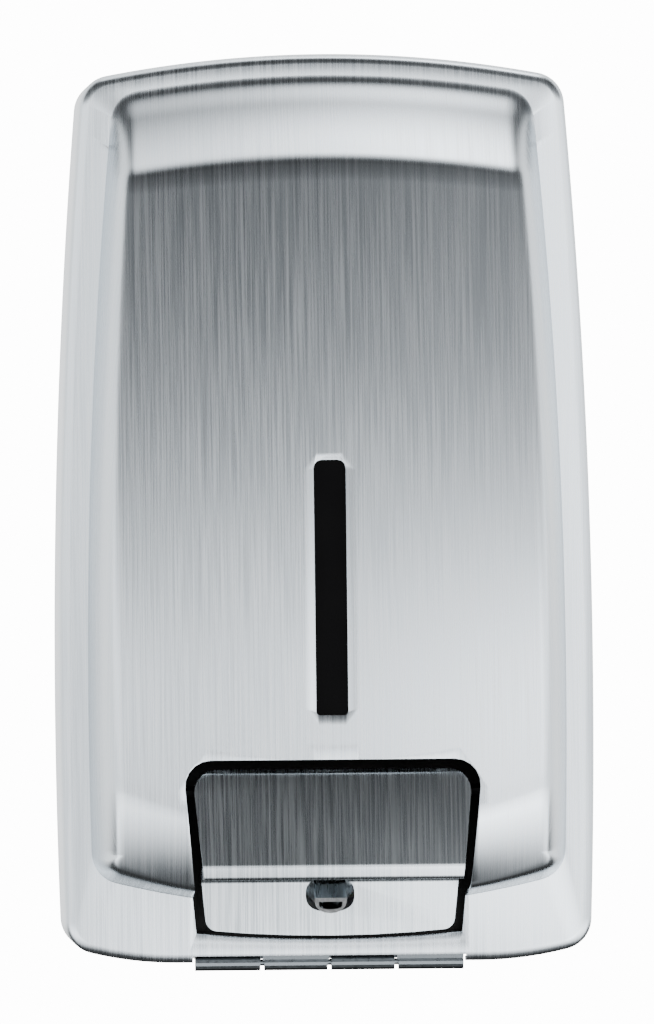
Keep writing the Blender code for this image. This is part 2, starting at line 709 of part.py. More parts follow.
def make_tank(shelf_top, milky, soft, steel):
    tank = node("tank", side_prism(tank_outline(), (-TANK_HALF, TANK_HALF)), milky)
    inner_half = TANK_HALF - TANK_WALL
    cut(tank, side_prism(tank_outline(TANK_WALL), (-inner_half, inner_half)))
    mouth = ((-MOUTH_HALF, MOUTH_HALF), (MOUTH_BACK_DEPTH, MOUTH_FRONT_DEPTH))
    rim = 0.003
    grown = [(r[0] - rim, r[1] + rim) for r in mouth]
    rim_top = TANK_TOP + 0.003
    join(tank, box(*grown, (TANK_TOP - TANK_WALL / 2, rim_top)))
    cut(tank, box(*mouth, (TANK_TOP - 0.005, TANK_TOP + 0.01)))
    port = CYLINDER_BORE + CYLINDER_WALL + PIN_GAP
    cut(tank, rod(along_pump(TANK_FACE_DISTANCE - 0.006), along_pump(TANK_FACE_DISTANCE + 0.006), port))
    for x in (-0.030, 0.030):
        foot = (shelf_top + SEAT_GAP, TANK_FOOT + TANK_WALL / 2)
        join(tank, box((x - 0.0015, x + 0.0015), (0.014, 0.034), foot))

    seal_top = rim_top + SEAT_GAP + LID_SEAL_THICKNESS
    seal = node("lid_seal", box(*grown, (rim_top + SEAT_GAP, seal_top)), soft)
    cut(seal, box(*mouth, (TANK_TOP, TANK_TOP + 0.01)))

    pin_depth = MOUTH_BACK_DEPTH - rim - 0.0035
    pin_height = rim_top + 0.0012
    pin = at(0, pin_depth, pin_height)
    lid_body = pivot("lid_hinge", pin)
    lid_foot = seal_top + SEAT_GAP
    lid = node("tank_lid", box(grown[0], (pin_depth, grown[1][1] + 0.002), (lid_foot, lid_foot + LID_THICKNESS)),
               milky, lid_body)
    ear = 0.0026
    for sign in (-1, 1):
        outer = (sign * 0.012, sign * 0.019)
        post = (sign * 0.0195, sign * 0.0235)
        across = Vector((1, 0, 0))
        join(lid, rod(pin + across * outer[0], pin + across * outer[1], ear, 12))
        join(lid, box(outer, (pin_depth - ear, pin_depth + 0.001), (pin_height, lid_foot + LID_THICKNESS)))
        join(tank, rod(pin + across * post[0], pin + across * post[1], ear, 12))
        join(tank, box(post, (pin_depth - ear, pin_depth + ear), (TANK_TOP - TANK_WALL / 2, pin_height)))
        room = (min(post) - SEAT_GAP, max(post) + SEAT_GAP)
        reach = ear + SEAT_GAP
        cut(lid, box(room, (pin_depth - reach, pin_depth + reach + 0.001), (lid_foot - 0.001, lid_foot + 0.004)))
    half = Vector((0.0235, 0, 0))
    for piece in (lid, tank):
        cut(piece, rod(pin - half * 1.2, pin + half * 1.2, LID_PIN_RADIUS + PIN_GAP, 12))
    node("lid_pin", rod(pin - half, pin + half, LID_PIN_RADIUS, 12), steel)


def make_pump(white, soft, steel):
    """Fixed parts of the pump, then the plunger that slides with the handle."""
    outer = CYLINDER_BORE + CYLINDER_WALL
    port = outer + PIN_GAP
    face = TANK_FACE_DISTANCE + SEAT_GAP
    gasket_front = face + GASKET_THICKNESS
    ring_profile = [(face, port), (gasket_front, port), (gasket_front, PUMP_FLANGE_RADIUS), (face, PUMP_FLANGE_RADIUS)]
    node("pump_gasket", pump_turned(ring_profile), soft)

    flange = gasket_front + SEAT_GAP
    flange_front = flange + PUMP_FLANGE_THICKNESS
    rear = TANK_FACE_DISTANCE - CYLINDER_LENGTH
    bore = CYLINDER_BORE
    profile = [(rear, bore), (flange_front, bore), (flange_front, PUMP_FLANGE_RADIUS), (flange, PUMP_FLANGE_RADIUS),
               (flange, outer), (rear, outer)]
    node("pump_body", pump_turned(profile), white)

    nut = TANK_FACE_DISTANCE - TANK_WALL - SEAT_GAP
    hex_nut("pump_nut", along_pump(nut), -pump_line()[1], outer, 0.0105, 0.004, white)

    gland = flange_front + SEAT_GAP
    gland_front = gland + GLAND_THICKNESS
    shaft = STEM_RADIUS + PIN_GAP
    gland_profile = [(gland, shaft), (gland_front, shaft), (gland_front, 0.0062), (gland_front - 0.001, GLAND_RADIUS),
                     (gland, GLAND_RADIUS)]
    node("gland_cap", pump_turned(gland_profile), white)

    cap = rear - SEAT_GAP
    ball = 0.0024
    inlet = [(cap, 0.0030), (cap, outer), (cap - 0.009, outer), (cap - 0.009, 0.0016), (cap - 0.007, 0.0016),
             (cap - 0.0055, 0.0030)]
    inlet_cap = node("inlet_cap", pump_turned(inlet), white)
    elbow = along_pump(cap - 0.0115)
    floor = at(0, -elbow.y, TANK_FOOT + TANK_WALL + 0.003)
    join(inlet_cap, rod(along_pump(cap - 0.0085), along_pump(cap - 0.0135), 0.0042),
         rod(elbow + Vector((0, 0, 0.001)), floor, 0.0030))
    cut(inlet_cap, rod(along_pump(cap - 0.006), along_pump(cap - 0.0118), 0.0013, 12),
        rod(elbow + Vector((0, 0, 0.0003)), floor - Vector((0, 0, 0.001)), 0.0017, 12))
    seat = along_pump(cap - 0.0034)
    sphere = bmesh.new()
    bmesh.ops.create_icosphere(sphere, subdivisions=2, radius=ball, matrix=Matrix.Translation(seat))
    node("valve_ball", sphere, steel)

    start, forward, _ = pump_line()
    plunger = pivot("plunger_slide", start)
    collar_front = -0.0056
    collar = collar_front - COLLAR_THICKNESS
    stroke = math.radians(HANDLE_PUSH_DEGREES) * (start - at(0, HANDLE_PIVOT_DEPTH, HANDLE_PIVOT_HEIGHT)).length
    piston = rear + 0.001 + stroke + 0.005
    seal_gap = 0.0003
    groove = CYLINDER_BORE - 0.0019
    head = CYLINDER_BORE - PIN_GAP
    stem = [(piston - 0.004, 0), (piston - 0.004, head), (piston - 0.003, head), (piston - 0.003, groove),
            (piston, groove), (piston, head), (piston + 0.001, head), (piston + 0.001, STEM_RADIUS),
            (collar, STEM_RADIUS), (collar, COLLAR_RADIUS), (collar_front, COLLAR_RADIUS), (collar_front, 0)]
    rod_piece = node("plunger", pump_turned(stem), steel, plunger)
    sides = np.linspace(-math.pi, 0, 9)
    half = SPOUT_HALF_WIDTH

    def spout_outline(distance, shrink):
        flat = SPOUT_HEIGHT / 2 - shrink
        low = flat - SPOUT_HEIGHT + 2 * shrink
        points = [(half - shrink, flat)]
        points += [((half - shrink) * math.cos(a + 2 * math.pi), flat - 0.0012 + (low - flat + 0.0012) * -math.sin(a))
                   for a in sides[::-1]]
        points += [(-half + shrink, flat)]
        return [along_pump(distance, rise) + Vector((x, 0, 0)) for x, rise in points]

    join(rod_piece, prism(spout_outline(collar_front - 0.0005, 0), forward * (SPOUT_REACH - collar_front + 0.0005)))
    cut(rod_piece, prism(spout_outline(-0.002, SPOUT_WALL), forward * (SPOUT_REACH + 0.004)),
        rod(along_pump(piston - 0.006), along_pump(0), STEM_BORE, 12))
    ring_seal = [(piston - 0.003 + seal_gap, groove + seal_gap), (piston - seal_gap, groove + seal_gap),
                 (piston - seal_gap, CYLINDER_BORE - 0.0004), (piston - 0.0015, CYLINDER_BORE - 0.00015),
                 (piston - 0.003 + seal_gap, CYLINDER_BORE - 0.0004)]
    node("piston_seal", pump_turned(ring_seal), soft, plunger)
    make_spring(gland_front, collar, steel)
    return plunger


def make_spring(rear, front, steel):
    """The plunger's return spring: a wire swept along a helix between the gland cap and the collar."""
    start, forward, upward = pump_line()
    radius = 0.0046
    first = rear + SPRING_WIRE + SEAT_GAP
    last = front - SPRING_WIRE - SEAT_GAP
    curve = bpy.data.curves.new("return_spring", "CURVE")
    curve.dimensions = "3D"
    curve.bevel_depth = SPRING_WIRE
    curve.bevel_resolution = 1
    curve.use_fill_caps = True
    spline = curve.splines.new("POLY")
    count = SPRING_TURNS * 12 + 1
    spline.points.add(count - 1)
    side = Vector((1, 0, 0))
    for i in range(count):
        share = i / (count - 1)
        angle = 2 * math.pi * SPRING_TURNS * share
        place = start + forward * (first + (last - first) * share)
        place += (side * math.cos(angle) + upward * math.sin(angle)) * radius
        spline.points[i].co = (*place, 1)
    spring = bpy.data.objects.new("return_spring", curve)
    bpy.context.scene.collection.objects.link(spring)
    curve.materials.append(steel)


def handle_front(depths):
    """Front outline of the handle as a prism: the cut-out's shape less the gap round it."""
    gap = HANDLE_GAP
    top = CUTOUT_TOP - gap
    corner = CUTOUT_CORNER - 0.001
    corners = [(-CUTOUT_TOP_HALF + gap, top), (CUTOUT_TOP_HALF - gap, top)]
    radii = [corner, corner]
    half = CUTOUT_FOOT_HALF - gap
    foot = CUTOUT_FOOT + 0.0009
    low = [(half * share, foot - CUTOUT_FOOT_SAG * (1 - share * share)) for share in np.linspace(1, -1, 7)]
    corners += low
    radii += [0.003] + [0] * (len(low) - 2) + [0.003]
    return front_prism(rounded(corners, radii), depths)


def make_handle(body, steel):
    """Push handle: a tilted pad with a round lip, and a flat chin with the spout's hole."""
    wall = HANDLE_WALL
    top = CUTOUT_TOP
    low = CUTOUT_FOOT - 0.004
    skin = [(PAD_TOP_DEPTH - 0.007, top), (PAD_TOP_DEPTH, top - HANDLE_GAP), (LIP_DEPTH, PAD_FOOT + 0.0015),
            (LIP_DEPTH - 0.0008, PAD_FOOT - 0.0018), (CHIN_DEPTH + 0.0015, PAD_FOOT - 0.0022),
            (CHIN_DEPTH, low)]
    back = [(CHIN_DEPTH - wall, low), (CHIN_DEPTH - wall, PAD_FOOT - 0.0022 + wall),
            (LIP_DEPTH - wall * 2, PAD_FOOT + 0.0015), (PAD_TOP_DEPTH - wall, top - HANDLE_GAP - wall),
            (PAD_TOP_DEPTH - 0.007, top - HANDLE_GAP - wall)]
    outline = rounded(skin + back, [0, 0.0026, 0.0026, 0.0012, 0.0012, 0, 0, 0.001, 0.001, 0.001, 0], 4)
    reach = CUTOUT_TOP_HALF + 0.01
    handle = node("push_handle", side_prism(outline, (-reach, reach)), steel, body)
    combine(handle, [handle_front((CHIN_DEPTH - 0.03, LIP_DEPTH + 0.01))], "INTERSECT")
    pivot_place = (HANDLE_PIVOT_DEPTH, HANDLE_PIVOT_HEIGHT)
    ear = 0.0042
    side_plate = [(pivot_place[0] - ear, pivot_place[1] + ear), (PAD_TOP_DEPTH - wall / 2, top - HANDLE_GAP - wall / 2),
                  (LIP_DEPTH - wall * 1.5, PAD_FOOT + 0.0015), (LIP_DEPTH - 0.006, PAD_FOOT - 0.0006),
                  (CHIN_DEPTH - wall / 2, PAD_FOOT - 0.0008), (pivot_place[0] - ear, pivot_place[1] - ear)]
    outer = CUTOUT_FOOT_HALF - HANDLE_GAP - 0.0004
    for sign in (-1, 1):
        span = (sign * (outer - wall), sign * outer)
        join(handle, side_prism(rounded(side_plate, [0.004, 0, 0, 0, 0, 0.004], 3), span))
    power = 2 / HOLE_SQUARENESS
    hole = []
    for angle in np.linspace(0, -2 * math.pi, 25)[:-1]:
        across, up = math.cos(angle), math.sin(angle)
        x = HOLE_HALF_WIDTH * math.copysign(abs(across) ** power, across)
        hole.append((x, HOLE_HEIGHT + HOLE_HALF_HEIGHT * math.copysign(abs(up) ** power, up)))
    pin = at(0, *pivot_place)
    half = Vector((CUTOUT_TOP_HALF + 0.01, 0, 0))
    return cut(handle, front_prism(hole, (CHIN_DEPTH - 0.01, CHIN_DEPTH + 0.01)),
               rod(pin - half, pin + half, HANDLE_PIN_RADIUS + PIN_GAP, 12))


def make_surround(body, black, steel):
    """The black channel behind the cut-out that carries the handle's pin, with its studs and nuts."""
    inner = CUTOUT_TOP_HALF + 0.0008
    outer = inner + 0.0025
    top = CUTOUT_TOP + SURROUND_RISE
    front = face_depth(outer, top) - COVER_SHEET - 0.0012
    back = 0.060
    rim_face = FLANGE_DEPTH - COVER_SHEET - SEAT_GAP
    bar_foot = CUTOUT_TOP + 0.0015
    roof = 0.0012
    cheek = [(back, top), (front, top), (front, CUTOUT_TOP - 0.010), (front - 0.007, CUTOUT_TOP - 0.0205),
             (front - 0.017, CUTOUT_TOP - 0.0265), (rim_face + 0.004, CUTOUT_TOP - 0.0285),
             (rim_face, CUTOUT_TOP - 0.0315), (rim_face, CUTOUT_FOOT - 0.0026), (back, CUTOUT_FOOT - 0.0026)]
    surround = node("handle_surround", side_prism(cheek, (-outer, -inner)), black, body)
    join(surround, side_prism(cheek, (inner, outer)))
    join(surround, box((-inner - 0.001, inner + 0.001), (front - 0.016, front), (bar_foot, top)))
    join(surround, box((-inner - 0.001, inner + 0.001), (back, back + 0.002), (CUTOUT_TOP - 0.0195, top)))
    join(surround, box((-inner - 0.001, inner + 0.001), (back, front - 0.015), (top - roof, top)))
    for sign in (-1, 1):
        wing = sorted((sign * 0.010, sign * (inner + 0.001)))
        join(surround, box(wing, (back, back + 0.002), (CUTOUT_FOOT - 0.0026, CUTOUT_TOP - 0.019)))
    join(surround, box((-inner - 0.001, inner + 0.001), (back, rim_face - LEAF_THICKNESS - 0.0014),
                       (CUTOUT_FOOT - 0.0032, CUTOUT_FOOT - CUTOUT_FOOT_SAG + 0.0016)))
    pin = at(0, HANDLE_PIVOT_DEPTH, HANDLE_PIVOT_HEIGHT)
    half = Vector((outer, 0, 0))
    cut(surround, rod(pin - half * 1.2, pin + half * 1.2, HANDLE_PIN_RADIUS + PIN_GAP, 12))
    node("handle_pin", rod(pin - half, pin + half, HANDLE_PIN_RADIUS, 12), steel, body)
    stud = 0.0015
    stud_height = top - 0.004
    frame_half = WINDOW_WIDTH / 2 + WINDOW_FRAME_REACH + SEAT_GAP
    frame_foot = WINDOW_FOOT - WINDOW_FRAME_REACH - SEAT_GAP
    cut(surround, box((-frame_half, frame_half), (front - 0.006, front + 0.01), (frame_foot, top + 0.001)))
    for side, x in (("left", -0.028), ("right", 0.028)):
        start = at(x, face_depth(x, stud_height) - COVER_SHEET - SEAT_GAP, stud_height)
        rear = at(x, front - 0.0215, stud_height)
        cut(surround, rod(start, rear, stud + PIN_GAP, 12))
        length = (start - rear).length
        profile = [(0, 0), (0, 0.0028), (0.0008, 0.0028), (0.0008, stud), (length, stud), (length, 0)]
        node(f"surround_stud_{side}", turned(profile, start, rear - start, 12), steel, body)
        seat = front - 0.016 - SEAT_GAP
        place = at(x, seat, stud_height)
        hex_nut(f"surround_nut_{side}", place, Vector((0, 1, 0)), stud, 0.0026, 0.0024, steel, body, 12)


def make_lock(cover, black, steel, brass):
    """Cam lock through the cover's top: fixed housing and nut, turning cylinder, cam and cam screw."""
    ceiling = COVER_TOP - COVER_SHEET
    foot = ceiling - LOCK_LENGTH
    down = Vector((0, 0, -1))
    face = at(0, LOCK_DEPTH, COVER_TOP - 0.0001)
    length = face.z - foot
    bore = LOCK_CYLINDER_RADIUS + PIN_GAP
    housing = [(0, bore), (0, LOCK_RADIUS), (length, LOCK_RADIUS), (length, bore)]
    node("lock_housing", turned(housing, face, down), black, cover)
    under = COVER_TOP - OUTLINE_EDGE_ROUND / 2 - COVER_SHEET - SEAT_GAP
    hex_nut("lock_nut", at(0, LOCK_DEPTH, under), down, LOCK_RADIUS, 0.0095, 0.0025, steel, cover)
    turning = pivot("lock_turn", face, cover)
    square = 0.0022
    cylinder = [(0.0002, 0), (0.0002, LOCK_CYLINDER_RADIUS), (length + SEAT_GAP, LOCK_CYLINDER_RADIUS),
                (length + SEAT_GAP, 0)]
    core = node("lock_cylinder", turned(cylinder, face, down), brass, turning)
    cam_foot = foot - 2 * SEAT_GAP - CAM_THICKNESS
    join(core, box((-square, square), (LOCK_DEPTH - square, LOCK_DEPTH + square), (cam_foot - 0.0002, foot)))
    cut(core, box((-0.0006, 0.0006), (LOCK_DEPTH - 0.0026, LOCK_DEPTH + 0.0026), (face.z - 0.004, face.z + 0.001)))
    centre = (LOCK_DEPTH - CAM_REACH + CAM_HALF, LOCK_DEPTH)
    cam = node("lock_cam", rod(at(0, centre[1], cam_foot), at(0, centre[1], cam_foot + CAM_THICKNESS), CAM_HALF * 1.3),
               steel, turning)
    join(cam, box((-CAM_HALF, CAM_HALF), (centre[0], centre[1]), (cam_foot, cam_foot + CAM_THICKNESS)),
         rod(at(0, centre[0], cam_foot), at(0, centre[0], cam_foot + CAM_THICKNESS), CAM_HALF))
    room = square + PIN_GAP
    cut(cam, box((-room, room), (LOCK_DEPTH - room, LOCK_DEPTH + room), (cam_foot - 0.001, cam_foot + 0.003)))
    screw_top = at(0, LOCK_DEPTH, cam_foot - 0.0002 - SEAT_GAP)
    screw = [(0, 0), (0, 0.0034), (0.0012, 0.0034), (0.0018, 0.0024), (0.0018, 0)]
    node("cam_screw", turned(screw, screw_top, down, 12), steel, turning)


# The assembly

clear_scene()
STEEL = material("brushed_stainless", (0.62, 0.64, 0.66), 0.3, 1.0)
HANDLE_STEEL = material("handle_steel", (0.58, 0.6, 0.62), 0.28, 1.0)
FIXING_STEEL = material("bright_steel", (0.55, 0.56, 0.58), 0.35, 1.0)
BRASS = material("lock_brass", (0.78, 0.62, 0.34), 0.35, 1.0)
BLACK = material("black_abs", (0.02, 0.02, 0.022), 0.5)
SMOKE = material("smoked_acrylic", (0.01, 0.01, 0.012), 0.1)
MILKY = material("milky_polyethylene", (0.86, 0.87, 0.86), 0.45, 0.0, 0.75)
WHITE = material("white_acetal", (0.9, 0.9, 0.88), 0.35)
RUBBER = material("black_rubber", (0.03, 0.03, 0.03), 0.8)

COVER_BODY = pivot("cover_open", at(0, HINGE_DEPTH, HINGE_HEIGHT))
HANDLE_BODY = pivot("handle_push", at(0, HANDLE_PIVOT_DEPTH, HANDLE_PIVOT_HEIGHT), COVER_BODY)
make_cover(COVER_BODY, STEEL)
make_window(COVER_BODY, SMOKE, BLACK)
LEAF_TOP = make_hinge(COVER_BODY, FIXING_STEEL)
SHELF_TOP = make_wall_side(LEAF_TOP, FIXING_STEEL)
make_keeper(FIXING_STEEL)
make_clips(FIXING_STEEL)
make_tank(SHELF_TOP, MILKY, RUBBER, FIXING_STEEL)
make_pump(WHITE, RUBBER, FIXING_STEEL)
make_handle(HANDLE_BODY, HANDLE_STEEL)
make_surround(COVER_BODY, BLACK, FIXING_STEEL)
make_lock(COVER_BODY, BLACK, FIXING_STEEL, BRASS)
bpy.context.view_layer.update()
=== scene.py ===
import math
import bmesh
import bpy
import numpy as np
from mathutils import Matrix, Vector


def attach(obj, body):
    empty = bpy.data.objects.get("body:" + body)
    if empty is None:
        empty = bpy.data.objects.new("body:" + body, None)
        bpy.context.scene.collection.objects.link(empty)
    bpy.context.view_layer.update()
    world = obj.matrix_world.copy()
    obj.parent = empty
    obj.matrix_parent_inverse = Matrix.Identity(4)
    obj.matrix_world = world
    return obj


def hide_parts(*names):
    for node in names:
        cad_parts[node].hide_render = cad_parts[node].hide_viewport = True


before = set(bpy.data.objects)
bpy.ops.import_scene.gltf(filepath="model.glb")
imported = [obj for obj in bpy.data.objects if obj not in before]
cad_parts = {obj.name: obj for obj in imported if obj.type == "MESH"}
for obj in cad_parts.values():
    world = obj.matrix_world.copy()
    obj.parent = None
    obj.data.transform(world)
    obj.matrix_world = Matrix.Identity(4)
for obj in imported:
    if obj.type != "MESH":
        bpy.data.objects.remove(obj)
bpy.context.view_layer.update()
bpy.ops.object.select_all(action="DESELECT")


# The front cover
# One pressing of 1 mm type 304 stainless sheet: a flat rim, side walls back to the wall, and a
# belly pressed forward with a crease across its top and bottom. It is brushed up and down, and
# the window slot, the handle's cut-out and the lock's hole are punched in it.

COVER_WIDTH = 0.1335
COVER_TOP = 0.11365
COVER_FOOT = -0.1135
COVER_SHEET = 0.001
FLANGE_DEPTH = 0.070
WALL_CLEARANCE = 0.0008
WIDEST_HEIGHT = -0.0455
OUTLINE_SIDE_RADIUS = 1.752
ARCH_RADIUS = 0.288
OUTLINE_CORNER = 0.008
OUTLINE_EDGE_ROUND = 0.0025
FOOT_FLAT_HALF = 0.038
FOOT_EASE_RADIUS = 0.080
BELLY_SIDE_INSET = 0.0069
BELLY_SIDE_RADIUS = 1.47
BELLY_TOP = COVER_TOP - 0.0052
BELLY_FOOT = COVER_FOOT + 0.0135
BELLY_FOOT_RADIUS = 0.344
BELLY_EDGE_ROLL = 0.008
TIGHT_ROLL = 1.4
TIGHT_ROLL_REACH = 0.014
BELLY_CROWN = 0.08
UPPER_CREASE = BELLY_TOP - 0.0211
RAMP_RISE = 0.0165
LOWER_CREASE = BELLY_FOOT + 0.019
LOWER_CREASE_RADIUS = 0.133
FACE_RISE = 0.0194
CREASE_ROUND = 0.0014
BELLY_RISE = RAMP_RISE + FACE_RISE
SEAT_GAP = 0.0003  # between pieces that rest on each other
SWING_GAP = 0.0012  # between a moving piece and what it passes
WINDOW_WIDTH = 0.008
WINDOW_TOP = 0.012
WINDOW_FOOT = -0.0515
CUTOUT_TOP = -0.0625
CUTOUT_FOOT = -0.1062
CUTOUT_TOP_HALF = 0.0374
CUTOUT_FOOT_HALF = 0.0333
CUTOUT_CORNER = 0.0065
CUTOUT_FOOT_SAG = 0.0015
LIP_DEPTH = FLANGE_DEPTH + 0.038
SHELF_HALF = 0.052
HINGE_HALF = 0.0336
KNUCKLE_RADIUS = 0.002
HINGE_DEPTH = FLANGE_DEPTH - COVER_SHEET - KNUCKLE_RADIUS - 0.0003
HINGE_HEIGHT = COVER_FOOT - 0.0001
LOCK_DEPTH = 0.042
LOCK_RADIUS = 0.0065


def at(x, depth, height):
    """A point from its depth in front of the wall; the wall is the plane y = 0."""
    return Vector((x, -depth, height))


def outline_half(height):
    return COVER_WIDTH / 2 - (height - WIDEST_HEIGHT) ** 2 / (2 * OUTLINE_SIDE_RADIUS)


def belly_half(height):
    widest = COVER_WIDTH / 2 - BELLY_SIDE_INSET
    return widest - (height - WIDEST_HEIGHT) ** 2 / (2 * BELLY_SIDE_RADIUS)


def row_bend(middle):
    """How fast a row of the belly leaves its middle height, per square of x."""
    heights = (BELLY_FOOT, LOWER_CREASE, UPPER_CREASE)
    bends = (1 / BELLY_FOOT_RADIUS, 1 / LOWER_CREASE_RADIUS, -1 / ARCH_RADIUS)
    return float(np.interp(middle, heights, bends)) / 2


def middle_height(x, height):
    """The height at which the row through a point crosses the middle of the belly."""
    middle = height
    for _ in range(14):
        middle = height - row_bend(middle) * x * x
    return middle


def raw_rise(middle):
    """The belly's rise above the flange along its middle, with sharp creases."""
    if middle >= UPPER_CREASE:
        s = min(max((BELLY_TOP - middle) / (BELLY_TOP - UPPER_CREASE), 0.0), 1.0)
        return RAMP_RISE * (0.67 * s + 0.33 * s * s)
    if middle >= LOWER_CREASE:
        t = (UPPER_CREASE - middle) / (UPPER_CREASE - LOWER_CREASE)
        return RAMP_RISE + FACE_RISE * (1.85 * t - 0.85 * t * t)
    q = min((LOWER_CREASE - middle) / (LOWER_CREASE - BELLY_FOOT), 1.0)
    return BELLY_RISE * (1 - 0.09 * q) * math.sqrt(1 - 0.5 * q * q)


def belly_rise(x, height):
    middle = middle_height(x, height)
    samples = [raw_rise(middle + CREASE_ROUND * k / 3) for k in range(-3, 4)]
    crown = 1 - BELLY_CROWN * (x / belly_half(height)) ** 2
    return crown * sum(samples) / len(samples)


def edge_roll(inset, height):
    """Share of the belly's rise at a distance inside its foot: a hollow, a wall and a round edge.

    The roll is tighter low down, where it reaches its tightest over 0.6 of its reach.
    """
    low = min(max((BELLY_FOOT + TIGHT_ROLL_REACH - height) / (TIGHT_ROLL_REACH * 0.6), 0.0), 1.0)
    s = min(max(inset * (1 + TIGHT_ROLL * low) / BELLY_EDGE_ROLL, 0.0), 1.0)
    s = 1.06 * s * s / (s + 0.06)
    return 1 - (1 - s) ** 3.2


def face_depth(x, height):
    """Depth of the cover's outer face well inside the belly's edge."""
    return FLANGE_DEPTH + belly_rise(x, height)


def core_outline(top, foot, half, columns, heights):
    """Four sides of a sharp-cornered outline, clockwise from the top left.

    columns and heights are shares of the way across and down, the same for every outline.
    """

    def edge_point(share, edge):
        x = share * half(edge(0))
        for _ in range(8):
            x = share * half(edge(x))
        return x, edge(x)

    upper = [edge_point(share, top) for share in columns]
    lower = [edge_point(share, foot) for share in columns]
    right = []
    for share in heights:
        z = upper[-1][1] + (lower[-1][1] - upper[-1][1]) * share
        right.append((half(z), z))
    left = [(-x, z) for x, z in reversed(right)]
    return [upper, right, lower[::-1], left]


def ring(sides, offset, corner_steps):
    """Points at an even distance outside a core outline, with an arc of steps round each corner."""
    points = []
    normals = []
    for side in sides:
        for i in range(len(side)):
            before = side[max(i - 1, 0)]
            after = side[min(i + 1, len(side) - 1)]
            normals.append(Vector((-(after[1] - before[1]), after[0] - before[0])).normalized())
    place = 0
    for side in sides:
        for point in side:
            normal = normals[place]
            points.append((point[0] + normal.x * offset, point[1] + normal.y * offset))
            place += 1
        first = normals[place - 1]
        second = normals[place % len(normals)]
        corner = side[-1]
        for step in range(1, corner_steps):
            turn = first.angle_signed(second) * step / corner_steps
            normal = Matrix.Rotation(-turn, 2) @ first
            points.append((corner[0] + normal.x * offset, corner[1] + normal.y * offset))
    return points


def cover_surface(columns, band_rows, face_rows, foot_rows, insets, corner_steps):
    """The cover's outer skin, open at the back."""
    roll = BELLY_EDGE_ROLL
    crease = CREASE_ROUND
    rows = list(np.linspace(BELLY_TOP - roll, UPPER_CREASE + crease, band_rows)) + [UPPER_CREASE]
    rows += list(np.linspace(UPPER_CREASE - crease, LOWER_CREASE + crease, face_rows))
    rows.append(LOWER_CREASE)
    rows += list(np.linspace(LOWER_CREASE - crease, BELLY_FOOT + roll, foot_rows))
    shares = [math.sin(u * math.pi / 2) for u in np.linspace(-1, 1, columns)]

    def core_half(z):
        return belly_half(z) - roll

    def grid_point(share, middle):
        x = share * core_half(middle)
        for _ in range(8):
            x = share * core_half(middle + row_bend(middle) * x * x)
        return x, middle + row_bend(middle) * x * x

    shape = bmesh.new()
    grid = [[grid_point(share, row) for share in shares] for row in rows]
    verts = [[shape.verts.new(at(x, face_depth(x, z), z)) for x, z in line] for line in grid]
    for upper, lower in zip(verts, verts[1:]):
        for i in range(columns - 1):
            shape.faces.new((upper[i], lower[i], lower[i + 1], upper[i + 1]))

    core = [grid[0], [line[-1] for line in grid], grid[-1][::-1], [line[0] for line in grid[::-1]]]
    drops = [(p[1] - core[1][0][1]) / (core[1][-1][1] - core[1][0][1]) for p in core[1]]
    inner = []
    for side in (verts[0], [v[-1] for v in verts], verts[-1][::-1], [v[0] for v in verts[::-1]]):
        inner += list(side) + [side[-1]] * (corner_steps - 1)
    rings = [inner]
    for inset in insets:
        line = ring(core, roll - inset, corner_steps)
        depths = [FLANGE_DEPTH + edge_roll(inset, z) * belly_rise(x, z) for x, z in line]
        rings.append([shape.verts.new(at(x, d, z)) for (x, z), d in zip(line, depths)])

    def outer_top(x):
        return COVER_TOP - OUTLINE_CORNER - x * x / (2 * (ARCH_RADIUS - OUTLINE_CORNER))

    def outer_foot(x):
        ease = max(abs(x) - FOOT_FLAT_HALF, 0.0)
        return COVER_FOOT + OUTLINE_CORNER + ease * ease / (2 * FOOT_EASE_RADIUS)

    def outer_half(z):
        return outline_half(z) - OUTLINE_CORNER

    outer = core_outline(outer_top, outer_foot, outer_half, shares, drops)
    edge = OUTLINE_EDGE_ROUND
    for angle in (0, 30, 60, 90):
        turn = math.radians(angle)
        line = ring(outer, OUTLINE_CORNER - edge * (1 - math.sin(turn)), corner_steps)
        depth = FLANGE_DEPTH - edge * (1 - math.cos(turn))
        rings.append([shape.verts.new(at(x, depth, z)) for x, z in line])
    line = ring(outer, OUTLINE_CORNER, corner_steps)
    rings.append([shape.verts.new(at(x, WALL_CLEARANCE, z)) for x, z in line])

    for first, second in zip(rings, rings[1:]):
        for i in range(len(first)):
            j = (i + 1) % len(first)
            corners = [first[j], first[i], second[i], second[j]]
            different = [v for k, v in enumerate(corners) if v not in corners[:k]]
            if len(different) > 2:
                shape.faces.new(different)
    return shape


def rounded(corners, radii, steps=5):
    """The corners of a flat polygon, (a, b) pairs, each cut by an arc of its own radius."""
    outline = []
    count = len(corners)
    for i, (corner, radius) in enumerate(zip(corners, radii)):
        here = Vector(corner)
        back = (Vector(corners[i - 1]) - here).normalized()
        ahead = (Vector(corners[(i + 1) % count]) - here).normalized()
        if radius == 0:
            outline.append(tuple(here))
            continue
        half_angle = back.angle(ahead) / 2
        centre = here + (back + ahead).normalized() * (radius / math.sin(half_angle))
        reach = radius / math.tan(half_angle)
        first = here + back * reach - centre
        sweep = first.angle_signed(here + ahead * reach - centre)
        for step in range(steps + 1):
            turn = Matrix.Rotation(-sweep * step / steps, 2)
            outline.append(tuple(centre + turn @ first))
    return outline


